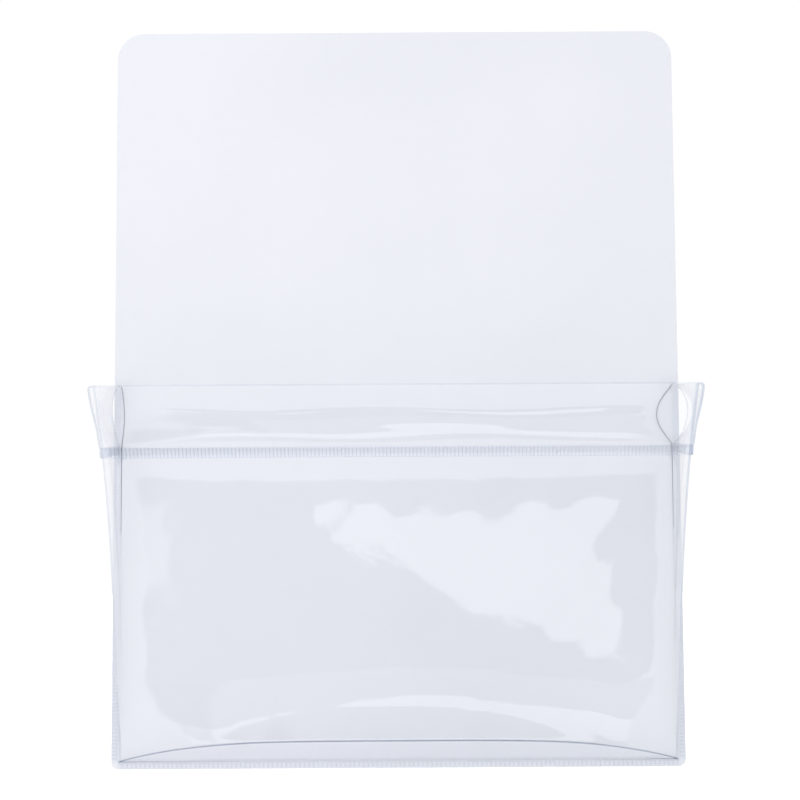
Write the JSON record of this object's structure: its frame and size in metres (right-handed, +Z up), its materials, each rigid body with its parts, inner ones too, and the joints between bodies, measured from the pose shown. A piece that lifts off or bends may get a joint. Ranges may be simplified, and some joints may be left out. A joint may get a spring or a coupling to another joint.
{
  "type": "magnetic document pocket",
  "caption": "Clear film pocket with an open mouth, ribbed weld seams and a fold-over flap on a pale back sheet, held by magnetic strips on its rear.",
  "frame": {"origin": "middle of the upper magnetic strip's holding face, on the rear of the pocket", "axes": "+Z up along the sheet towards the flap, +Y out of the rear into the surface that holds it, +X to the right seen from the front"},
  "size_m": [0.23, 0.0442, 0.296],
  "materials": {
    "sheet": "satin, milky, faintly blue",
    "film": "clear glossy film",
    "magnet": "matt, dark, finely calendered"
  },
  "bodies": {
    "root": {"back_sheet": "sheet", "pocket_film": "film", "magnet_strip_upper": "magnet", "magnet_strip_lower": "magnet"}
  },
  "joints": []
}
